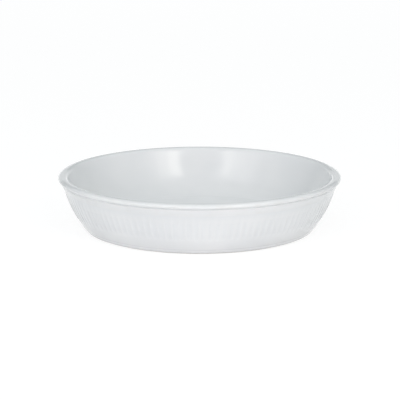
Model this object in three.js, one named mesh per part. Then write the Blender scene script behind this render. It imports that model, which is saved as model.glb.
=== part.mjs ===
// Round pie dish: a stoneware body with a beaded rim, a fluted band and a bare foot ring, the glaze coat
// that covers it inside and out, and the patch of glaze under its base.
// Millimetres, +Z up, origin at the middle of the plane that the dish stands on.
import * as THREE from "three";

// Overall sizes, over the glaze
const RIM_RADIUS = 135;
const HEIGHT = 52;
const FOOT_RADIUS = 109;
const WALL = 6.5;
const FLOOR = 6;

// Glaze
const GLAZE = 0.5;
const GLAZE_SEAT = 0.1; // clearance between the glaze and the clay that it covers
const GLAZE_LINE = 1; // height of the edge of the glaze above the foot's plane

// Rim: a bead that overhangs the wall, with a collar below it and a groove between the two
const BEAD_OVERHANG = 5.5; // from the top of the wall out to the bead's widest point
const BEAD_CREST_INSET = 4.6; // from the widest point in to the crest
const BEAD_DOME = 2.4; // from the widest point up to the crest
const BEAD_DROP = 2.6; // from the widest point down to the groove
const BEAD_INNER_ROUND = 4; // depth of the rounding on the inside of the crest
const COLLAR = 7; // height of the collar
const COLLAR_OVERHANG = 2.9; // from the top of the wall out to the collar's widest point
const COLLAR_LEAN = -25; // degrees: the direction that the collar's face looks in
const COLLAR_UPPER_ROUND = 1; // radius of the collar's upper edge
const COLLAR_LOWER_ROUND = 0.4; // radius of its lower edge, which starts from the wall
const GROOVE_OVERHANG = 2.2; // from the top of the wall out to the groove
const GROOVE_FROM = 50; // degrees: the collar's upper round ends here, in the groove
const GROOVE_TO = -70; // degrees: the bead's round starts here

// Wall
const WALL_BELLY = 2.3; // bulge of the wall's section, square to its chord
const COVE = 8; // height of the inside curve between floor and wall

// Foot line: a shallow groove round the wall above the foot
const FOOT_LINE_HEIGHT = 4;
const FOOT_LINE_WIDTH = 1.4;
const FOOT_LINE_DEPTH = 0.4;

// Fluted band
const FLUTES = 120;
const FLUTE_DEPTH = 0.5;
const FLUTE_RUN_OUT = 1.5; // length over which a flute fades into the plain wall
const BAND_ABOVE_FOOT = 14.5; // from the foot's plane up to the band
const BAND_BELOW_COLLAR = 5.9; // from the band up to the collar

// Foot ring
const FOOT_BEVEL = 2.4; // from the glaze edge in to the flat of the ring
const FOOT_RING = 5; // width of the flat
const RECESS = 1.8; // depth of the glazed base inside the ring
const RECESS_SLOPE = 1.2; // how far the ring's inner side leans in over that depth

// Facets
const COLUMNS = 60;
const FLUTE_COLUMNS = 2 * FLUTES; // a crest and a valley for each flute
const COLLAR_ROUND_STEPS = 1;
const BEAD_UNDER_STEPS = 2;
const BEAD_TOP_STEPS = 3;
const ROUND_STEPS = 3;
const COVE_STEPS = 4;

// Working limits
const SAME_POINT = 0.01; // two points of a section closer than this are one
const HALVINGS = 40; // when a point of the wall is searched for by its height

// Heights that follow from the sizes above
const WIDEST_HEIGHT = HEIGHT - BEAD_DOME;
const GROOVE_HEIGHT = WIDEST_HEIGHT - BEAD_DROP;
const WALL_TOP_HEIGHT = GROOVE_HEIGHT - COLLAR;
const FLOOR_HEIGHT = RECESS + FLOOR;

// The section of the outside wall, from the glaze edge up to the collar
const wallTop = new THREE.Vector2(RIM_RADIUS - BEAD_OVERHANG, WALL_TOP_HEIGHT);
const wallFoot = new THREE.Vector2(FOOT_RADIUS, GLAZE_LINE);
const wallCurve = belliedCurve(wallFoot, wallTop, WALL_BELLY);

function belliedCurve(from, to, belly) {
  const chord = to.clone().sub(from).normalize();
  const pull = new THREE.Vector2(chord.y, -chord.x).multiplyScalar(2 * belly);
  const middle = from.clone().add(to).multiplyScalar(0.5);
  return new THREE.QuadraticBezierCurve(from, middle.add(pull), to);
}

// A section is followed so that the outside of the material is always on its right.
function normalOf(tangent) {
  return new THREE.Vector2(tangent.y, -tangent.x).normalize();
}

// A station is one ring of the surface: a point of the section, its normal and how deep its flutes are.
function station(point, normal, fluteDepth = 0) {
  return { point, normal, fluteDepth };
}

function stationsOf(curve, steps) {
  const stations = [];
  for (let i = 0; i <= steps; i++) {
    const t = i / steps;
    stations.push(station(curve.getPoint(t), normalOf(curve.getTangent(t))));
  }
  return stations;
}

// Where two stretches meet, their two stations become one, with the mean of the two normals.
function joined(...stretches) {
  const stations = [];
  for (const next of stretches.flat()) {
    const last = stations.at(-1);
    if (last && last.point.distanceTo(next.point) < SAME_POINT) {
      last.normal.add(next.normal).normalize();
    } else {
      stations.push(next);
    }
  }
  return stations;
}

function shifted(stations, distance) {
  return stations.map(({ point, normal, fluteDepth }) => {
    const moved = point.clone().addScaledVector(normal, distance);
    moved.x = Math.max(moved.x, 0);
    return station(moved, normal, fluteDepth);
  });
}

// A point of the wall's section, moved square to it by inset, and the parameter of such a point at a height.
function wallPoint(t, inset) {
  const normal = normalOf(wallCurve.getTangent(t));
  return wallCurve.getPoint(t).addScaledVector(normal, -inset);
}

function wallParameter(height, inset) {
  let low = 0;
  let high = 1;
  for (let i = 0; i < HALVINGS; i++) {
    const t = (low + high) / 2;
    if (wallPoint(t, inset).y < height) {
      low = t;
    } else {
      high = t;
    }
  }
  return low;
}

function outsideWall() {
  const bandBottom = BAND_ABOVE_FOOT + FLUTE_RUN_OUT;
  const bandTop = WALL_TOP_HEIGHT - BAND_BELOW_COLLAR - FLUTE_RUN_OUT;
  const rings = [
    { height: GLAZE_LINE },
    { height: FOOT_LINE_HEIGHT - FOOT_LINE_WIDTH / 2 },
    { height: FOOT_LINE_HEIGHT, groove: FOOT_LINE_DEPTH },
    { height: FOOT_LINE_HEIGHT + FOOT_LINE_WIDTH / 2 },
    { height: BAND_ABOVE_FOOT },
    { height: bandBottom, fluteDepth: FLUTE_DEPTH },
    { height: (bandBottom + bandTop) / 2, fluteDepth: FLUTE_DEPTH },
    { height: bandTop, fluteDepth: FLUTE_DEPTH },
    { height: bandTop + FLUTE_RUN_OUT },
    { height: WALL_TOP_HEIGHT },
  ];
  return rings.map(({ height, groove = 0, fluteDepth = 0 }) => {
    const t = wallParameter(height, 0);
    return station(wallPoint(t, groove), normalOf(wallCurve.getTangent(t)), fluteDepth);
  });
}

// Part of an ellipse that rises round a centre, between two angles from the horizontal
function rising(x, y, xRadius, yRadius, fromDegrees, toDegrees, steps) {
  const [from, to] = [fromDegrees, toDegrees].map(THREE.MathUtils.degToRad);
  return stationsOf(new THREE.EllipseCurve(x, y, xRadius, yRadius, from, to), steps);
}

function collar() {
  const low = COLLAR_LOWER_ROUND;
  const high = COLLAR_UPPER_ROUND;
  const highX = wallTop.x + COLLAR_OVERHANG - high;
  return [
    rising(wallTop.x, WALL_TOP_HEIGHT + low, low, low, -90, COLLAR_LEAN, COLLAR_ROUND_STEPS),
    rising(highX, GROOVE_HEIGHT - high, high, high, COLLAR_LEAN, GROOVE_FROM, COLLAR_ROUND_STEPS),
  ];
}

function bead() {
  const grooveX = wallTop.x + GROOVE_OVERHANG;
  const crestX = RIM_RADIUS - BEAD_CREST_INSET;
  const groove = station(new THREE.Vector2(grooveX, GROOVE_HEIGHT), new THREE.Vector2(1, 0));
  return [
    groove,
    rising(grooveX, WIDEST_HEIGHT, RIM_RADIUS - grooveX, BEAD_DROP, GROOVE_TO, 0, BEAD_UNDER_STEPS),
    rising(crestX, WIDEST_HEIGHT, BEAD_CREST_INSET, BEAD_DOME, 0, 90, BEAD_TOP_STEPS),
  ];
}

// The point where the line through start along direction reaches a height.
function reach(start, direction, height) {
  return start.clone().addScaledVector(direction, (height - start.y) / direction.y);
}

function inside() {
  const upward = wallCurve.getTangent(1);
  const innerTop = wallPoint(1, WALL);
  const crest = new THREE.Vector2(RIM_RADIUS - BEAD_CREST_INSET, HEIGHT);
  const roundEnd = reach(innerTop, upward, HEIGHT - BEAD_INNER_ROUND);
  const round = new THREE.QuadraticBezierCurve(crest, reach(innerTop, upward, HEIGHT), roundEnd);

  const coveTop = wallParameter(FLOOR_HEIGHT + COVE, WALL);
  const wall = [1, (1 + coveTop) / 2, coveTop].map((t) => {
    const downward = wallCurve.getTangent(t).negate();
    return station(wallPoint(t, WALL), normalOf(downward));
  });

  const coveStart = wallPoint(coveTop, WALL);
  const corner = reach(coveStart, wallCurve.getTangent(coveTop), FLOOR_HEIGHT);
  const coveEnd = new THREE.Vector2(corner.x - corner.distanceTo(coveStart), FLOOR_HEIGHT);
  const cove = new THREE.QuadraticBezierCurve(coveStart, corner, coveEnd);

  const floorMiddle = station(new THREE.Vector2(0, FLOOR_HEIGHT), new THREE.Vector2(0, 1));
  return [stationsOf(round, ROUND_STEPS), wall, stationsOf(cove, COVE_STEPS), floorMiddle];
}

// The whole finished surface, from the edge of the glaze outside to the middle of the floor inside
const finished = joined(outsideWall(), ...collar(), ...bead(), ...inside());

function glazeCoat() {
  const underside = shifted(finished, -GLAZE).reverse();
  return turned([...finished, ...underside], true);
}

function stonewareBody() {
  const down = new THREE.Vector2(0, -1);
  const flatOuter = FOOT_RADIUS - FOOT_BEVEL;
  const flatInner = flatOuter - FOOT_RING;
  const ceiling = RECESS + GLAZE + GLAZE_SEAT;
  const foot = [
    [0, ceiling],
    [flatInner - RECESS_SLOPE, ceiling],
    [flatInner, 0],
    [flatOuter, 0],
  ].map(([radius, height]) => station(new THREE.Vector2(radius, height), down));
  return turned([...foot, ...shifted(finished, -GLAZE - GLAZE_SEAT)], false);
}

function baseGlaze() {
  const down = new THREE.Vector2(0, -1);
  const edge = FOOT_RADIUS - FOOT_BEVEL - FOOT_RING - RECESS_SLOPE - GLAZE_SEAT;
  const section = [
    [0, RECESS],
    [edge - GLAZE, RECESS],
    [edge, RECESS + GLAZE],
    [0, RECESS + GLAZE],
  ].map(([radius, height]) => station(new THREE.Vector2(radius, height), down));
  return turned(section, false);
}

// The vertices of one ring. A ring on the axis is a single point.
function ringOf({ point, normal, fluteDepth }) {
  if (point.x === 0) {
    return [new THREE.Vector3(0, 0, point.y)];
  }
  const count = fluteDepth > 0 ? FLUTE_COLUMNS : COLUMNS;
  const ring = [];
  for (let i = 0; i < count; i++) {
    const angle = (2 * Math.PI * i) / count;
    const depth = i % 2 === 1 ? fluteDepth : 0;
    const { x: radius, y: height } = point.clone().addScaledVector(normal, -depth);
    ring.push(new THREE.Vector3(radius * Math.cos(angle), radius * Math.sin(angle), height));
  }
  return ring;
}

// Joins two rings by triangles, going round both at once, whatever their counts are. The ring whose next
// edge has its middle sooner takes the next step, so each vertex of a coarse ring fans out evenly.
function stitch(triangles, first, second) {
  const a = (i) => first.start + (i % first.count);
  const b = (j) => second.start + (j % second.count);
  const stepsOnFirst = first.count > 1 ? first.count : 0;
  const stepsOnSecond = second.count > 1 ? second.count : 0;
  let i = 0;
  let j = 0;
  while (i < stepsOnFirst || j < stepsOnSecond) {
    const nextOnFirst = i < stepsOnFirst ? (i + 0.5) / stepsOnFirst : Infinity;
    const nextOnSecond = j < stepsOnSecond ? (j + 0.5) / stepsOnSecond : Infinity;
    if (nextOnFirst <= nextOnSecond) {
      triangles.push(a(i), a(i + 1), b(j));
      i += 1;
    } else {
      triangles.push(a(i), b(j + 1), b(j));
      j += 1;
    }
  }
}

// A closed surface turned from a section, which ends on the axis or closes on itself.
function turned(stations, closes) {
  const vertices = [];
  const rings = stations.map((ring) => {
    const points = ringOf(ring);
    const start = vertices.length;
    vertices.push(...points);
    return { start, count: points.length };
  });
  const triangles = [];
  for (let i = 1; i < rings.length; i++) {
    stitch(triangles, rings[i - 1], rings[i]);
  }
  if (closes) {
    stitch(triangles, rings.at(-1), rings[0]);
  }
  const geometry = new THREE.BufferGeometry().setFromPoints(vertices);
  geometry.setIndex(triangles);
  geometry.computeVertexNormals();
  return geometry;
}

function part(name, geometry, colour, roughness) {
  const material = new THREE.MeshStandardMaterial({ color: colour, roughness, metalness: 0 });
  const mesh = new THREE.Mesh(geometry, material);
  mesh.name = name;
  return mesh;
}

const WHITE_GLAZE = 0xeceded;
const BARE_CLAY = 0xd8d0c2;

const dish = new THREE.Group();
dish.add(part("stoneware_body", stonewareBody(), BARE_CLAY, 0.85));
dish.add(part("glaze_coat", glazeCoat(), WHITE_GLAZE, 0.15));
dish.add(part("base_glaze", baseGlaze(), WHITE_GLAZE, 0.2));

export default dish;
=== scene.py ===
"""Looks of a round white pie dish on a pale studio floor. Metres, +Z up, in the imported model's frame.

The dish has three pieces: the glaze over its outside, rim and inside, the clay under it, which
shows at the bare foot ring, and the glaze under its base. Sections are in millimetres, as
(radius, height).
"""

import math

import bpy
import numpy as np
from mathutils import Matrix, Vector


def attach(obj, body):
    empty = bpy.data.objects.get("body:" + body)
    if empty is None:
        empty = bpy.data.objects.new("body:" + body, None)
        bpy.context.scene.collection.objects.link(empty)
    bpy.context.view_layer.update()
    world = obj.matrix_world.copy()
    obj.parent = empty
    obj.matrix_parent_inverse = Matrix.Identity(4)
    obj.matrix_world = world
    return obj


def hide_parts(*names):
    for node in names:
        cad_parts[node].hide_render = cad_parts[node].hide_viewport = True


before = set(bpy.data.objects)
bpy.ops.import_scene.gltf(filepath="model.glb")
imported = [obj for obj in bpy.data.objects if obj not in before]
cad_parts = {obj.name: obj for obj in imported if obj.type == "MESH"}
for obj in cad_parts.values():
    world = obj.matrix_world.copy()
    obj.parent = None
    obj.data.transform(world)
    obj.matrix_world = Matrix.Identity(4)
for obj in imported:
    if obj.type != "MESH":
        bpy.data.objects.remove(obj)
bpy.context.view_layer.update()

MM = 0.001

# Sizes over the glaze, in millimetres, with angles in degrees
RIM_RADIUS = 135.0
HEIGHT = 52.0
FOOT_RADIUS = 109.0
WALL = 6.5
FLOOR_HEIGHT = 7.8
GLAZE = 0.5
GLAZE_SEAT = 0.1
GLAZE_LINE = 1.0
BEAD_OVERHANG = 5.5
BEAD_CREST_INSET = 4.6
BEAD_DOME = 2.4
BEAD_DROP = 2.6
BEAD_INNER_ROUND = 4.0
COLLAR = 7.0
COLLAR_OVERHANG = 2.9
COLLAR_LEAN = -25
COLLAR_UPPER_ROUND = 1.0
COLLAR_LOWER_ROUND = 0.4
GROOVE_OVERHANG = 2.2
GROOVE_FROM = 50
GROOVE_TO = -70
WALL_BELLY = 2.3
COVE = 8.0
FOOT_LINE_HEIGHT = 4.0
FOOT_LINE_WIDTH = 1.4
FOOT_LINE_DEPTH = 0.4
FLUTES = 120
FLUTE_DEPTH = 0.5
BAND_BOTTOM = 14.5
BAND_TOP = 34.1
FOOT_BEVEL = 2.4
FOOT_RING = 5.0
RECESS = 1.8
RECESS_SLOPE = 1.2

# Heights and points that follow from them
WIDEST_HEIGHT = HEIGHT - BEAD_DOME
GROOVE_HEIGHT = WIDEST_HEIGHT - BEAD_DROP
WALL_TOP_HEIGHT = GROOVE_HEIGHT - COLLAR
CREST_RADIUS = RIM_RADIUS - BEAD_CREST_INSET
WALL_TOP = np.array([RIM_RADIUS - BEAD_OVERHANG, WALL_TOP_HEIGHT])
WALL_FOOT = np.array([FOOT_RADIUS, GLAZE_LINE])

# Fineness of the meshes
COLUMNS = 6 * FLUTES
CLAY_COLUMNS = 2 * FLUTES
CURVE_STEPS = 80
WALL_STEPS = 800
ARC_STEPS = 60
BASE_EDGE_STEPS = 6
BASE_RINGS = 12
GLAZE_EDGE_TURNS = (-60, -30, 0, 30, 60)  # degrees round the lower edge of the glaze
FINE_STEP = 0.1  # spacing of the points of a section before stations are picked from it
SAME_POINT = 1e-6  # points nearer than this are one point
SOFTENING = 0.35  # how far the glaze rounds the corners of the clay under it
SOFTENING_REACH = 4  # times SOFTENING, where its weights end
TURN_PER_STATION = math.radians(9)
LONGEST_STEP = 9.0
BAND_STEP = 1.5
UNDER_TURN = math.radians(24)  # for surfaces that another covers
UNDER_STEP = 12.0

# Colours, as reflectances
GLAZE_TONE = (0.800, 0.812, 0.820)
GLAZE_TONE_PALE = (0.838, 0.846, 0.850)
# Glaze colour put in hollows and at the bottom of each flute, darker and cooler than the rest
GLAZE_HOLLOWS = (0.720, 0.752, 0.775)
GLAZE_THIN = (0.770, 0.762, 0.745)
CLAY_TONE = (0.690, 0.640, 0.560)
CLAY_TONE_DARK = (0.600, 0.545, 0.465)
CLAY_GRAIN = (0.280, 0.225, 0.170)
CLAY_RUBBED = (0.520, 0.500, 0.470)
FLOOR_COLOUR = (0.900, 0.900, 0.900)
WHITE = (1.0, 1.0, 1.0)

# Patterns of the glaze. A noise is (scale per metre, detail), and a range says which of its values
# go from none to all. A bend is in 1/mm, above 0 where the surface bulges.
# Flute bottoms get this bend, and where the bend lies in the next range the glaze turns darker and cooler
FLUTE_BEND = -0.4  # at the bottom of a flute
TONE_NOISE, TONE_RANGE = (16, 2), (0.3, 0.7)
HOLLOW_BEND, HOLLOW_SHARE = (-0.05, -0.6), 0.25
THIN_NOISE, THIN_RANGE = (110, 3), (0.35, 0.75)
THIN_BEND, THIN_SHARE = (0.1, 0.5), 0.4
PINHOLE_SCALE, PINHOLE_EDGE = 170, (0.07, 0.03)
PINHOLE_NOISE, PINHOLE_RANGE = (40, 1), (0.58, 0.64)
PINHOLE_SHARE, PINHOLE_DEPTH = 0.3, 0.00002
GLOSS_NOISE, GLOSS_RANGE = (55, 3), (0.3, 0.7)
GLAZE_ROUGHNESS = (0.10, 0.14)
GLAZE_IOR = 1.5
WAVE_NOISE, WAVE_HEIGHT = (26, 1), 0.00008
RIPPLE_NOISE, RIPPLE_HEIGHT = (190, 2), 0.000006

# Patterns of the clay
CLAY_NOISE, CLAY_RANGE = (60, 4), (0.3, 0.7)
GRAIN_SCALE, GRAIN_EDGE = 620, (0.24, 0.12)
GRAIN_NOISE, GRAIN_RANGE = (210, 1), (0.5, 0.62)
GRAIN_SHARE = 0.7
RUBBED_HEIGHT = (0.0006, 0.0001)
RUBBED_NOISE, RUBBED_RANGE = (25, 3), (0.4, 0.65)
RUBBED_SHARE = 0.45
CLAY_ROUGHNESS = (0.92, 0.72)  # as fired, and where it is rubbed
GRIT_NOISE, GRIT_HEIGHT = (900, 3), 0.00008
LUMP_NOISE, LUMP_HEIGHT = (150, 2), 0.0001

# Sockets of a Mix node that are for colours
MIX_SHARE, MIX_FIRST, MIX_SECOND, MIX_RESULT = 0, 6, 7, 2

# The camera and reflections see the floor as white, with a share of its own shading, which keeps
# the shadow.
FLOOR_SIZE = 12.0
FLOOR_DROP = 0.0001
FLOOR_WHITE = 0.86
FLOOR_SHADING = 0.22

# The studio around the dish, as bright as this overhead and at both ends
WORLD_UP = 0.88
WORLD_ENDS = 0.52
WORLD_COLOUR = (0.92, 0.98, 1.0)
# The camera and reflections see it as white just above the floor, up to these sines of the angle
BACKDROP_FULL = 0.04
BACKDROP_GONE = 0.10

# Lamps: name, degrees to the right of the camera, degrees up, distance, width, height, watts, colour
LAMPS = (
    ("front_low", 0, 8, 2.6, 2.0, 0.7, 15.2, (1.0, 0.95, 1.0)),
    ("front_panel", 0, 32, 2.6, 5.0, 2.4, 12.5, (1.0, 0.95, 1.0)),
    ("right_core", 27, 31, 1.2, 0.19, 0.50, 0.55, (1.0, 0.975, 0.89)),
    ("right_box", 32, 31, 1.2, 0.46, 0.55, 1.25, (1.0, 0.975, 0.89)),
    ("right_halo", 40, 31, 1.2, 0.84, 0.70, 0.40, (0.98, 0.985, 1.0)),
    ("left_core", -29, 31, 1.2, 0.17, 0.50, 0.35, (1.0, 0.975, 0.89)),
    ("left_box", -33, 31, 1.2, 0.40, 0.55, 0.40, (1.0, 0.975, 0.89)),
    ("left_halo", -41, 31, 1.2, 0.78, 0.70, 1.30, (0.98, 0.985, 1.0)),
    ("back_low", 180, 9, 2.6, 3.0, 0.7, 4.8, (0.99, 0.995, 1.0)),
)
LIT_POINT = Vector((0, 0, 0.025))

CAMERA_DISTANCE = 2.025
CAMERA_ELEVATION = math.degrees(0.236)
CAMERA_AIM = Vector((0.0004, 0, 0.0261))
SENSOR_WIDTH = 36.0
PIXELS_PER_METRE = 1040.0  # at the dish's middle
IMAGE_WIDTH = 400


def unit(vectors):
    return vectors / np.linalg.norm(vectors, axis=-1, keepdims=True)


def to_right(tangents):
    """The direction on the right of a section's line of travel, which is the outside of its material."""
    return np.stack([tangents[..., 1], -tangents[..., 0]], -1)


def quadratic(start, control, end, steps=CURVE_STEPS):
    t = np.linspace(0, 1, steps + 1)[:, None]
    return (1 - t) ** 2 * start + 2 * t * (1 - t) * control + t**2 * end


def arc(centre, radii, from_degrees, to_degrees, steps=ARC_STEPS):
    a = np.radians(np.linspace(from_degrees, to_degrees, steps + 1))
    return np.stack([centre[0] + radii[0] * np.cos(a), centre[1] + radii[1] * np.sin(a)], 1)


def tangents_of(points):
    return unit(np.gradient(points, axis=0))


def resampled(points):
    """The same line with evenly spaced points."""
    lengths = np.linalg.norm(np.diff(points, axis=0), axis=1)
    points = points[np.concatenate([[True], lengths > SAME_POINT])]
    s = np.concatenate([[0], np.cumsum(np.linalg.norm(np.diff(points, axis=0), axis=1))])
    t = np.linspace(0, s[-1], max(2, round(s[-1] / FINE_STEP) + 1))
    return np.stack([np.interp(t, s, points[:, 0]), np.interp(t, s, points[:, 1])], 1)


def softened(points):
    """The evenly spaced points with their corners rounded. Both ends stay where they are."""
    reach = int(SOFTENING_REACH * SOFTENING / FINE_STEP)
    weights = np.exp(-0.5 * (np.arange(-reach, reach + 1) * FINE_STEP / SOFTENING) ** 2)
    weights /= weights.sum()
    before = 2 * points[0] - points[reach:0:-1]
    after = 2 * points[-1] - points[-2 : -reach - 2 : -1]
    padded = np.concatenate([before, points, after])
    return np.stack([np.convolve(padded[:, k], weights, "valid") for k in (0, 1)], 1)


def reach_height(start, direction, height):
    return start + direction * (height - start[1]) / direction[1]


def finished_section():
    """The glazed surface, from the edge of the glaze above the foot to the middle of the floor inside."""
    chord = unit(WALL_TOP - WALL_FOOT)
    control = (WALL_FOOT + WALL_TOP) / 2 + 2 * WALL_BELLY * to_right(chord)
    wall = quadratic(WALL_FOOT, control, WALL_TOP, WALL_STEPS)
    along = tangents_of(wall)
    off = np.abs(wall[:, 1] - FOOT_LINE_HEIGHT) / (FOOT_LINE_WIDTH / 2)
    foot_line = FOOT_LINE_DEPTH * (0.5 + 0.5 * np.cos(np.pi * np.clip(off, 0, 1)))
    outside = wall - to_right(along) * foot_line[:, None]

    low, high = COLLAR_LOWER_ROUND, COLLAR_UPPER_ROUND
    collar_low = arc(WALL_TOP + (0, low), (low, low), -90, COLLAR_LEAN)
    high_middle = WALL_TOP[0] + COLLAR_OVERHANG - high, GROOVE_HEIGHT - high
    collar_high = arc(high_middle, (high, high), COLLAR_LEAN, GROOVE_FROM)
    groove_radius = WALL_TOP[0] + GROOVE_OVERHANG
    groove_root = np.array([[groove_radius, GROOVE_HEIGHT]])
    under_bead = RIM_RADIUS - groove_radius, BEAD_DROP
    bead_below = arc((groove_radius, WIDEST_HEIGHT), under_bead, GROOVE_TO, 0)
    bead_above = arc((CREST_RADIUS, WIDEST_HEIGHT), (BEAD_CREST_INSET, BEAD_DOME), 0, 90)

    inner = wall - to_right(along) * WALL
    inner_top, upward = inner[-1], along[-1]
    crest = np.array([CREST_RADIUS, HEIGHT])
    round_end = reach_height(inner_top, upward, HEIGHT - BEAD_INNER_ROUND)
    inner_round = quadratic(crest, reach_height(inner_top, upward, HEIGHT), round_end)

    cove_index = int(np.searchsorted(inner[:, 1], FLOOR_HEIGHT + COVE))
    cove_start = inner[cove_index]
    corner = reach_height(cove_start, along[cove_index], FLOOR_HEIGHT)
    cove_end = np.array([corner[0] - np.linalg.norm(corner - cove_start), FLOOR_HEIGHT])
    cove = quadratic(cove_start, corner, cove_end)
    middle = np.array([[0.0, FLOOR_HEIGHT]])

    parts = [outside, collar_low, collar_high, groove_root, bead_below, bead_above]
    parts += [inner_round, inner[cove_index:][::-1], cove, middle]
    return softened(resampled(np.concatenate(parts)))


def picked(points, longest, turn, close):
    """The indices of the stations of a section: nearer each other where it turns or close says so."""
    along = tangents_of(points)
    crossed = along[:-1, 0] * along[1:, 1] - along[:-1, 1] * along[1:, 0]
    turns = np.abs(np.arcsin(np.clip(crossed, -1, 1)))
    lengths = np.linalg.norm(np.diff(points, axis=0), axis=1)
    chosen, turned_by, gone = [0], 0.0, 0.0
    for i in range(1, len(points) - 1):
        turned_by += turns[i - 1]
        gone += lengths[i - 1]
        if turned_by > turn or gone > (BAND_STEP if close[i] else longest):
            chosen.append(i)
            turned_by = gone = 0.0
    return np.array(chosen + [len(points) - 1])


finished = finished_section()
finished_normals = to_right(tangents_of(finished))
on_outside = np.arange(len(finished)) < int(np.argmax(finished[:, 1]))
in_band = (finished[:, 1] > BAND_BOTTOM) & (finished[:, 1] < BAND_TOP) & on_outside
band_radius = float(finished[in_band, 0].mean())
fine_stations = picked(finished, LONGEST_STEP, TURN_PER_STATION, in_band)
under_stations = picked(finished, UNDER_STEP, UNDER_TURN, in_band)


def skin(depth):
    """The finished surface moved into the dish by depth."""
    points = finished - finished_normals * depth
    points[-1, 0] = 0
    return points


def bend_of_section():
    """How much the finished section curves: above 0 where it bulges, below 0 in its corners."""
    along = tangents_of(finished)
    angle = np.unwrap(np.arctan2(along[:, 1], along[:, 0]))
    return np.gradient(angle) / FINE_STEP


def flute_depth(heights, count):
    """How deep each point of the fluted band lies, by station and column.

    A flute is a shallow round channel with half-round ends, and a narrow ridge parts it from the next.
    """
    half = math.pi * band_radius / FLUTES
    share = (np.arange(count) * FLUTES / count) % 1
    across = np.abs(share - 0.5) * 2 * half
    beyond = np.maximum(0, np.maximum(BAND_BOTTOM + half - heights, heights - (BAND_TOP - half)))
    away = np.hypot(across[None, :], beyond[:, None]) / half
    return FLUTE_DEPTH * (1 - np.clip(away, 0, 1) ** 2)


def turned(name, section, normals, fluted, bend, columns):
    """A closed mesh turned from a section that starts and ends on the axis, fluted where fluted says so.

    Its point attribute bend tells the material where the surface bulges or is hollow.
    """
    angles = 2 * np.pi * np.arange(columns) / columns
    ring = slice(1, -1)
    depth = np.where(fluted[ring][:, None], flute_depth(section[ring, 1], columns), 0)
    radius = section[ring, 0][:, None] - normals[ring, 0][:, None] * depth
    height = section[ring, 1][:, None] - normals[ring, 1][:, None] * depth
    rings = np.stack([radius * np.cos(angles), radius * np.sin(angles), height], -1)
    count = len(rings)
    ends = np.array([[0, 0, section[0, 1]], [0, 0, section[-1, 1]]])
    vertices = np.concatenate([rings.reshape(-1, 3), ends]) * MM

    here = np.arange(columns)
    after = (here + 1) % columns
    low = np.arange(count - 1)[:, None] * columns
    quads = np.stack([low + here, low + after, low + columns + after, low + columns + here], -1)
    first, last, top = count * columns, count * columns + 1, (count - 1) * columns
    fans = np.concatenate([
        np.stack([np.full(columns, first), after, here], 1),
        np.stack([np.full(columns, last), top + here, top + after], 1),
    ])
    mesh = bpy.data.meshes.new(name)
    mesh.from_pydata(vertices.tolist(), [], quads.reshape(-1, 4).tolist() + fans.tolist())
    mesh.polygons.foreach_set("use_smooth", np.ones(len(mesh.polygons), bool))
    # Flute bottoms count as hollows, so the glaze there turns darker and cooler
    in_flutes = FLUTE_BEND * depth / FLUTE_DEPTH
    bends = np.concatenate([(bend[ring][:, None] + in_flutes).ravel(), bend[[0, -1]]])
    attribute = mesh.attributes.new("bend", "FLOAT", "POINT")
    attribute.data.foreach_set("value", bends.astype(np.float32))
    mesh.update()
    piece = bpy.data.objects.new(name, mesh)
    bpy.context.scene.collection.objects.link(piece)
    return piece


def glaze_piece():
    """The glaze: its underside from the middle out, its lower edge, and back over the rim to the middle."""
    under = skin(GLAZE)
    outward = finished_normals[0]
    downward = -tangents_of(finished)[0]
    turn = np.radians(GLAZE_EDGE_TURNS)[:, None]
    round_edge = GLAZE / 2 * (np.sin(turn) * outward + np.cos(turn) * downward)
    edge = (finished[0] + under[0]) / 2 + round_edge
    edge_normals = np.repeat(downward[None], len(edge), 0)
    back, forth = under_stations[::-1], fine_stations
    bend = bend_of_section()
    return turned(
        "glaze",
        np.concatenate([under[back], edge, finished[forth]]),
        np.concatenate([finished_normals[back], edge_normals, finished_normals[forth]]),
        np.concatenate([in_band[back], np.zeros(len(edge), bool), in_band[forth]]),
        np.concatenate([bend[back], np.zeros(len(edge)), bend[forth]]),
        COLUMNS,
    )


def clay_piece():
    """The clay under the glaze, with the bare foot ring and the recess inside it."""
    ceiling = RECESS + GLAZE + GLAZE_SEAT
    flat_outer = FOOT_RADIUS - FOOT_BEVEL
    flat_inner = flat_outer - FOOT_RING
    recess_edge = flat_inner - RECESS_SLOPE
    under = skin(GLAZE + GLAZE_SEAT)
    corners = [[0, ceiling], [recess_edge, ceiling], [flat_inner, 0], [flat_outer, 0], under[0]]
    foot = softened(resampled(np.array(corners)))
    near_ring = foot[:, 0] > flat_inner - 2 * RECESS_SLOPE
    stations = picked(foot, UNDER_STEP, TURN_PER_STATION, near_ring)[:-1]
    return turned(
        "clay",
        np.concatenate([foot[stations], under[under_stations]]),
        np.concatenate([to_right(tangents_of(foot))[stations], finished_normals[under_stations]]),
        np.concatenate([np.zeros(len(stations), bool), in_band[under_stations]]),
        np.concatenate([np.zeros(len(stations)), bend_of_section()[under_stations]]),
        CLAY_COLUMNS,
    )


def base_glaze_piece():
    """The glaze in the recess under the base, with a rounded edge."""
    edge = FOOT_RADIUS - FOOT_BEVEL - FOOT_RING - RECESS_SLOPE - GLAZE_SEAT
    top = RECESS + GLAZE
    radii = np.linspace(0, edge - GLAZE, BASE_RINGS)
    below = np.stack([radii, np.full(len(radii), RECESS)], 1)
    above = np.stack([radii[::-1], np.full(len(radii), top)], 1)
    round_edge = arc((edge - GLAZE, top), (GLAZE, GLAZE), -90, 0, BASE_EDGE_STEPS)[1:]
    section = np.concatenate([below, round_edge, above])
    return turned(
        "base_glaze_coat",
        section,
        to_right(tangents_of(section)),
        np.zeros(len(section), bool),
        np.zeros(len(section)),
        CLAY_COLUMNS,
    )


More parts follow.
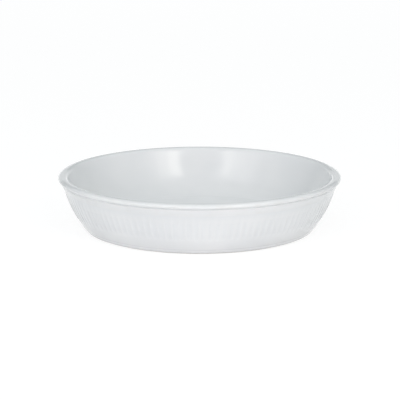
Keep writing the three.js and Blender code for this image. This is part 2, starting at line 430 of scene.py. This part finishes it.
class Nodes:
    """Short ways to add and link the nodes of one tree."""

    def __init__(self, tree):
        self.tree = tree

    def add(self, kind, settings=None, **inputs):
        node = self.tree.nodes.new(kind)
        for key, value in (settings or {}).items():
            setattr(node, key, value)
        for key, value in inputs.items():
            self.feed(node.inputs[key.replace("_", " ")], value)
        return node

    def feed(self, socket, value):
        if isinstance(value, bpy.types.NodeSocket):
            self.tree.links.new(value, socket)
        else:
            socket.default_value = value

    def noise(self, place, scale, detail):
        noise = self.add("ShaderNodeTexNoise", Vector=place, Scale=scale, Detail=detail)
        return noise.outputs["Fac"]

    def spots(self, place, scale):
        return self.add("ShaderNodeTexVoronoi", Vector=place, Scale=scale).outputs["Distance"]

    def ranged(self, value, from_low, from_high, to_low=0.0, to_high=1.0):
        return self.add(
            "ShaderNodeMapRange",
            {"interpolation_type": "SMOOTHSTEP"},
            Value=value,
            From_Min=from_low,
            From_Max=from_high,
            To_Min=to_low,
            To_Max=to_high,
        ).outputs["Result"]

    def maths(self, operation, first, second):
        node = self.add("ShaderNodeMath", {"operation": operation})
        self.feed(node.inputs[0], first)
        self.feed(node.inputs[1], second)
        return node.outputs[0]

    def mixed(self, share, first, second):
        """Two colours mixed: each is a socket or (red, green, blue)."""
        node = self.add("ShaderNodeMix", {"data_type": "RGBA"})
        self.feed(node.inputs[MIX_SHARE], share)
        for index, colour in ((MIX_FIRST, first), (MIX_SECOND, second)):
            self.feed(node.inputs[index], (*colour, 1) if isinstance(colour, tuple) else colour)
        return node.outputs[MIX_RESULT]

    def bump(self, height, distance, normal=None):
        node = self.add("ShaderNodeBump", Strength=1.0, Distance=distance, Height=height)
        if normal is not None:
            self.feed(node.inputs["Normal"], normal)
        return node.outputs["Normal"]


def new_material(name):
    material = bpy.data.materials.new(name)
    material.use_nodes = True
    nodes = Nodes(material.node_tree)
    shader = material.node_tree.nodes["Principled BSDF"]
    place = nodes.add("ShaderNodeTexCoord").outputs["Object"]
    return material, nodes, shader, place


def white_glaze():
    """Glossy white glaze: uneven in tone, darker and cooler in hollows and at flute bottoms, warmer where
    it is thin over an edge.
    """
    material, nodes, shader, place = new_material("white_glaze")
    bend = nodes.add("ShaderNodeAttribute", {"attribute_name": "bend"}).outputs["Fac"]
    pale = nodes.ranged(nodes.noise(place, *TONE_NOISE), *TONE_RANGE)
    colour = nodes.mixed(pale, GLAZE_TONE, GLAZE_TONE_PALE)
    # Darker, cooler glaze in hollows and at flute bottoms
    hollows = nodes.ranged(bend, *HOLLOW_BEND)
    colour = nodes.mixed(nodes.maths("MULTIPLY", hollows, HOLLOW_SHARE), colour, GLAZE_HOLLOWS)
    patches = nodes.ranged(nodes.noise(place, *THIN_NOISE), *THIN_RANGE)
    thin = nodes.maths("MULTIPLY", nodes.ranged(bend, *THIN_BEND), patches)
    colour = nodes.mixed(nodes.maths("MULTIPLY", thin, THIN_SHARE), colour, GLAZE_THIN)
    dots = nodes.ranged(nodes.spots(place, PINHOLE_SCALE), *PINHOLE_EDGE)
    sparse = nodes.ranged(nodes.noise(place, *PINHOLE_NOISE), *PINHOLE_RANGE)
    pinholes = nodes.maths("MULTIPLY", dots, sparse)
    colour = nodes.mixed(nodes.maths("MULTIPLY", pinholes, PINHOLE_SHARE), colour, GLAZE_THIN)
    nodes.feed(shader.inputs["Base Color"], colour)
    gloss = nodes.ranged(nodes.noise(place, *GLOSS_NOISE), *GLOSS_RANGE, *GLAZE_ROUGHNESS)
    nodes.feed(shader.inputs["Roughness"], gloss)
    waves = nodes.bump(nodes.noise(place, *WAVE_NOISE), WAVE_HEIGHT)
    ripples = nodes.bump(nodes.noise(place, *RIPPLE_NOISE), RIPPLE_HEIGHT, waves)
    nodes.feed(shader.inputs["Normal"], nodes.bump(pinholes, -PINHOLE_DEPTH, ripples))
    shader.inputs["IOR"].default_value = GLAZE_IOR
    return material


def bare_clay():
    """Unglazed fired clay: warm, matt and gritty, with small dark grains and a rubbed flat."""
    material, nodes, shader, place = new_material("bare_stoneware")
    dark = nodes.ranged(nodes.noise(place, *CLAY_NOISE), *CLAY_RANGE)
    colour = nodes.mixed(dark, CLAY_TONE, CLAY_TONE_DARK)
    dots = nodes.ranged(nodes.spots(place, GRAIN_SCALE), *GRAIN_EDGE)
    sparse = nodes.ranged(nodes.noise(place, *GRAIN_NOISE), *GRAIN_RANGE)
    grains = nodes.maths("MULTIPLY", dots, sparse)
    colour = nodes.mixed(nodes.maths("MULTIPLY", grains, GRAIN_SHARE), colour, CLAY_GRAIN)
    height = nodes.add("ShaderNodeSeparateXYZ", Vector=place).outputs["Z"]
    patches = nodes.ranged(nodes.noise(place, *RUBBED_NOISE), *RUBBED_RANGE)
    rubbed = nodes.maths("MULTIPLY", nodes.ranged(height, *RUBBED_HEIGHT), patches)
    colour = nodes.mixed(nodes.maths("MULTIPLY", rubbed, RUBBED_SHARE), colour, CLAY_RUBBED)
    nodes.feed(shader.inputs["Base Color"], colour)
    nodes.feed(shader.inputs["Roughness"], nodes.ranged(rubbed, 0.0, 1.0, *CLAY_ROUGHNESS))
    grit = nodes.bump(nodes.noise(place, *GRIT_NOISE), GRIT_HEIGHT)
    lumps = nodes.bump(nodes.noise(place, *LUMP_NOISE), LUMP_HEIGHT, grit)
    nodes.feed(shader.inputs["Normal"], lumps)
    return material


glaze = glaze_piece()
clay = clay_piece()
base_glaze = base_glaze_piece()
glaze_material = white_glaze()
clay_material = bare_clay()
for piece, material, slot, node in (
    (glaze, glaze_material, "white_glaze", "glaze_coat"),
    (clay, clay_material, "bare_stoneware", "stoneware_body"),
    (base_glaze, glaze_material, "white_glaze", "base_glaze"),
):
    piece.data.materials.append(material)
    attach(piece, "root")
    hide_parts(node)


def seen_or_reflected(nodes):
    """1 for what the camera sees, directly, reflected or through glass, and 0 for what lights the dish."""
    path = nodes.add("ShaderNodeLightPath").outputs
    reflected = nodes.maths("MAXIMUM", path["Is Glossy Ray"], path["Is Transmission Ray"])
    return nodes.maths("MAXIMUM", path["Is Camera Ray"], reflected)


def make_floor():
    half = FLOOR_SIZE / 2
    mesh = bpy.data.meshes.new("floor")
    corners = [(-half, -half), (half, -half), (half, half), (-half, half)]
    mesh.from_pydata([(x, y, -FLOOR_DROP) for x, y in corners], [], [(0, 1, 2, 3)])
    floor = bpy.data.objects.new("floor", mesh)
    bpy.context.scene.collection.objects.link(floor)
    material = bpy.data.materials.new("floor")
    material.use_nodes = True
    tree = material.node_tree
    tree.nodes.clear()
    nodes = Nodes(tree)
    seen = seen_or_reflected(nodes)
    shading = tuple(FLOOR_SHADING * c for c in FLOOR_COLOUR)
    lit = nodes.add("ShaderNodeBsdfDiffuse", Color=nodes.mixed(seen, FLOOR_COLOUR, shading))
    white = nodes.add("ShaderNodeEmission", Strength=nodes.maths("MULTIPLY", seen, FLOOR_WHITE))
    both = nodes.add("ShaderNodeAddShader")
    nodes.feed(both.inputs[0], lit.outputs[0])
    nodes.feed(both.inputs[1], white.outputs[0])
    nodes.feed(nodes.add("ShaderNodeOutputMaterial").inputs["Surface"], both.outputs[0])
    mesh.materials.append(material)


def make_world():
    world = bpy.data.worlds.new("studio")
    bpy.context.scene.world = world
    world.use_nodes = True
    tree = world.node_tree
    tree.nodes.clear()
    nodes = Nodes(tree)
    direction = nodes.add("ShaderNodeTexCoord").outputs["Generated"]
    axes = nodes.add("ShaderNodeSeparateXYZ", Vector=direction).outputs
    overhead = nodes.maths("MULTIPLY", nodes.maths("POWER", axes["Z"], 2.0), WORLD_UP)
    ends = nodes.maths("MULTIPLY", nodes.maths("POWER", axes["X"], 2.0), WORLD_ENDS)
    total = nodes.maths("ADD", overhead, ends)
    near_floor = nodes.ranged(axes["Z"], BACKDROP_GONE, BACKDROP_FULL)
    backdrop = nodes.maths("MULTIPLY", seen_or_reflected(nodes), near_floor)
    colour = nodes.mixed(backdrop, WORLD_COLOUR, WHITE)
    strength = nodes.maths("MAXIMUM", total, backdrop)
    background = nodes.add("ShaderNodeBackground", Color=colour, Strength=strength)
    nodes.feed(nodes.add("ShaderNodeOutputWorld").inputs["Surface"], background.outputs[0])


def from_camera_side(azimuth, elevation, distance):
    a, e = math.radians(azimuth), math.radians(elevation)
    direction = Vector((math.sin(a) * math.cos(e), -math.cos(a) * math.cos(e), math.sin(e)))
    return distance * direction


def make_lamp(name, azimuth, elevation, distance, width, height, watts, colour):
    lamp = bpy.data.lights.new(name, "AREA")
    lamp.shape = "RECTANGLE"
    lamp.size, lamp.size_y = width, height
    lamp.energy = watts
    lamp.color = colour
    holder = bpy.data.objects.new(name, lamp)
    bpy.context.scene.collection.objects.link(holder)
    holder.location = LIT_POINT + from_camera_side(azimuth, elevation, distance)
    holder.rotation_euler = (LIT_POINT - holder.location).to_track_quat("-Z", "Y").to_euler()


def make_camera():
    camera = bpy.data.cameras.new("camera")
    camera.sensor_width = SENSOR_WIDTH
    camera.lens = SENSOR_WIDTH * PIXELS_PER_METRE * CAMERA_DISTANCE / IMAGE_WIDTH
    holder = bpy.data.objects.new("camera", camera)
    bpy.context.scene.collection.objects.link(holder)
    holder.location = from_camera_side(0, CAMERA_ELEVATION, CAMERA_DISTANCE)
    holder.rotation_euler = (CAMERA_AIM - holder.location).to_track_quat("-Z", "Y").to_euler()
    bpy.context.scene.camera = holder


make_floor()
make_world()
for lamp_row in LAMPS:
    make_lamp(*lamp_row)
make_camera()
bpy.context.scene.view_settings.view_transform = "Standard"
